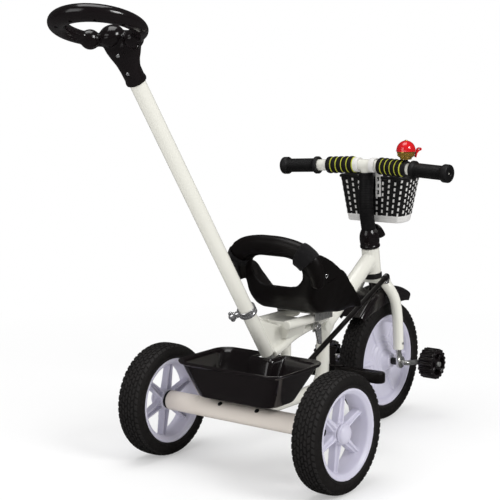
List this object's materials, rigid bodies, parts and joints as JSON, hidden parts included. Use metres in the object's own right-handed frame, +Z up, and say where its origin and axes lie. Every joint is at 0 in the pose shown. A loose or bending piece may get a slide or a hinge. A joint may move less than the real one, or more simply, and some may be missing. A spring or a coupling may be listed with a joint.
{
  "type": "tricycle",
  "caption": "Child's tricycle with a steerable push bar, bucket seat, rear tray, handlebar basket, bell, fender and fold-back footrests.",
  "frame": {"origin": "on the floor, midway between the front of the front tyre and the back of the hand wheel, on the centre plane", "axes": "+Z up, -Y the way it drives, +X to the rider's left"},
  "size_m": [0.438, 0.9907, 0.8145],
  "materials": {
    "frame_white": "warm white gloss powder coat on steel tube",
    "axle_cream": "cream gloss paint on steel tube",
    "rim_plastic": "white moulded plastic with ribs",
    "tyre_foam": "matte black moulded foam tyre with a block tread",
    "gloss_black": "glossy black moulded plastic",
    "seat_plastic": "satin fine-grained black plastic",
    "rubber_black": "matte black rubber",
    "zinc_steel": "bright zinc-plated steel",
    "chrome_steel": "chromed steel",
    "bar_foam": "soft black foam with yellow-green rings",
    "bell_red": "red lacquer on a steel dome",
    "bell_gold": "gold-coloured plastic",
    "harness_webbing": "black woven webbing",
    "basket_plastic": "black strip weave with white slats and a white base"
  },
  "bodies": {
    "base": {"main_frame": "frame_white", "rear_frame": "frame_white", "rear_axle_tube": "axle_cream", "rear_axle_rod": "zinc_steel", "axle_nut_left": "zinc_steel", "axle_nut_right": "zinc_steel", "wheel_collar_left": "rubber_black", "wheel_collar_right": "rubber_black", "tube_plug_left": "rubber_black", "tube_plug_right": "rubber_black", "footrest_bracket": "seat_plastic", "tray": "gloss_black"},
    "wheel_rear_left": {"rear_tyre_left": "tyre_foam", "rear_rim_left": "rim_plastic", "hub_cap_left": "rim_plastic"},
    "wheel_rear_right": {"rear_tyre_right": "tyre_foam", "rear_rim_right": "rim_plastic", "hub_cap_right": "rim_plastic"},
    "steering": {"fork": "frame_white", "headset_ring": "rubber_black", "stem_boot": "gloss_black", "stem_hood": "gloss_black", "stem_sleeve": "rubber_black", "handlebar": "frame_white", "bar_foam_left": "bar_foam", "bar_foam_right": "bar_foam", "grip_left": "rubber_black", "grip_right": "rubber_black", "bell_clamp": "rubber_black", "bell_base": "bell_gold", "bell_dome": "bell_red", "basket": "basket_plastic", "basket_hook_left": "rim_plastic", "basket_hook_right": "rim_plastic", "front_fender": "gloss_black", "axle_bracket_left": "zinc_steel", "axle_bracket_right": "zinc_steel", "axle_spacer_left": "rubber_black", "axle_spacer_right": "rubber_black", "rod_link": "chrome_steel"},
    "wheel_front": {"front_tyre": "tyre_foam", "front_rim": "rim_plastic", "crank_axle": "zinc_steel"},
    "foot_pedal_left": {"pedal_left": "gloss_black"},
    "foot_pedal_right": {"pedal_right": "gloss_black"},
    "bell_thumb": {"bell_lever": "gloss_black"},
    "push_shaft": {"steering_shaft": "zinc_steel"},
    "push_bar": {"push_tube": "frame_white", "push_clamp": "chrome_steel", "push_wheel": "gloss_black"},
    "knob": {"clamp_knob": "seat_plastic"},
    "rod": {"steering_rod": "seat_plastic", "rod_cap": "rubber_black"},
    "seat": {"seat_shell": "seat_plastic", "seat_bracket": "zinc_steel", "harness_pad": "harness_webbing", "harness_buckle": "harness_webbing"},
    "seat_catch": {"seat_lever": "seat_plastic"},
    "peg_left": {"footrest_left": "seat_plastic"},
    "peg_right": {"footrest_right": "seat_plastic"}
  },
  "joints": [
    {"name": "rear_left_spin", "type": "hinge", "parent": "base", "child": "wheel_rear_left", "pos_m": [0.194, 0.07004, 0.105], "axis": [1, 0, 0], "continuous": true},
    {"name": "rear_right_spin", "type": "hinge", "parent": "base", "child": "wheel_rear_right", "pos_m": [-0.194, 0.07004, 0.105], "axis": [1, 0, 0], "continuous": true},
    {"name": "steer", "type": "hinge", "parent": "base", "child": "steering", "pos_m": [0, -0.37296, 0.1225], "axis": [0, 0.153, 0.9882], "range_deg": [-30, 30]},
    {"name": "front_spin", "type": "hinge", "parent": "steering", "child": "wheel_front", "pos_m": [0, -0.37296, 0.1225], "axis": [1, 0, 0], "continuous": true},
    {"name": "pedal_left_spin", "type": "hinge", "parent": "wheel_front", "child": "foot_pedal_left", "pos_m": [0.0886, -0.31552, 0.13057], "axis": [1, 0, 0], "continuous": true},
    {"name": "pedal_right_spin", "type": "hinge", "parent": "wheel_front", "child": "foot_pedal_right", "pos_m": [-0.0886, -0.43039, 0.11443], "axis": [1, 0, 0], "continuous": true},
    {"name": "bell_ring", "type": "hinge", "parent": "steering", "child": "bell_thumb", "pos_m": [-0.0934, -0.31593, 0.542], "axis": [0, 0, 1], "range_deg": [0, 20], "stiffness_Nm_per_rad": 0.1},
    {"name": "push_steer", "type": "hinge", "parent": "base", "child": "push_shaft", "pos_m": [0, 0.00604, 0.205], "axis": [0, 0.5577, 0.83], "range_deg": [-30, 30]},
    {"name": "push_height", "type": "slide", "parent": "push_shaft", "child": "push_bar", "axis": [0, 0.5577, 0.83], "range_m": [0, 0.03]},
    {"name": "knob_turn", "type": "hinge", "parent": "push_bar", "child": "knob", "pos_m": [0.02062, 0.08025, 0.28201], "axis": [0.7418, 0.5568, -0.3739], "continuous": true},
    {"name": "rod_swing", "type": "hinge", "parent": "steering", "child": "rod", "pos_m": [-0.048, -0.31802, 0.30299], "axis": [0.058, -0.1721, -0.9834], "range_deg": [-33, 33]},
    {"name": "seat_slide", "type": "slide", "parent": "base", "child": "seat", "axis": [0, 1, 0], "range_m": [-0.02, 0.02]},
    {"name": "seat_catch_turn", "type": "hinge", "parent": "seat", "child": "seat_catch", "pos_m": [-0.021, -0.11596, 0.235], "axis": [1, 0, 0], "range_deg": [0, 90]},
    {"name": "peg_left_fold", "type": "hinge", "parent": "base", "child": "peg_left", "pos_m": [0.03, -0.18196, 0.139], "axis": [0, 0, 1], "range_deg": [0, 85]},
    {"name": "peg_right_fold", "type": "hinge", "parent": "base", "child": "peg_right", "pos_m": [-0.03, -0.18196, 0.139], "axis": [0, 0, -1], "range_deg": [0, 85]}
  ],
  "couplings": [
    {"joint": "push_steer", "follows": "steer", "ratio": 0.969},
    {"joint": "rod_swing", "follows": "steer", "ratio": 1.077}
  ]
}
